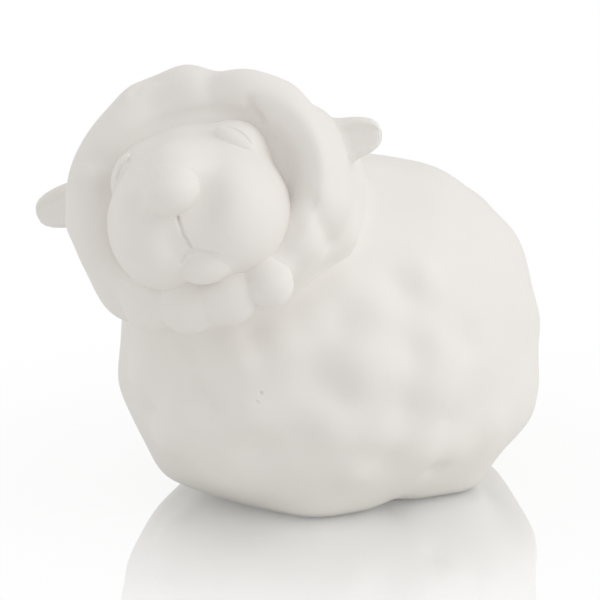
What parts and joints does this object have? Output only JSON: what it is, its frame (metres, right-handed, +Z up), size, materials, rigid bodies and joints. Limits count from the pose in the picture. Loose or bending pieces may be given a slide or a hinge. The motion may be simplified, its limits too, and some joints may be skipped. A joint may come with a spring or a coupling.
{
  "type": "sheep figurine",
  "caption": "Squat sheep ornament in white bisque, a lumpy hollow fleece on a flat foot, with a raised, turned head inside a thick woolly hood and small scooped ears.",
  "frame": {"origin": "on the flat foot, straight below the middle of the body fleece", "axes": "+Z up; the sheep faces -Y, with its left side on +X; the body is longest along Y"},
  "size_m": [0.1161, 0.1676, 0.1341],
  "materials": {
    "bisque": "matt unglazed bisque"
  },
  "bodies": {
    "root": {"body_fleece": "bisque", "head_fleece": "bisque", "face": "bisque", "nose": "bisque", "lower_lip": "bisque", "left_eye": "bisque", "right_eye": "bisque", "left_ear": "bisque", "right_ear": "bisque", "chin_curls": "bisque", "tail": "bisque"}
  },
  "joints": []
}
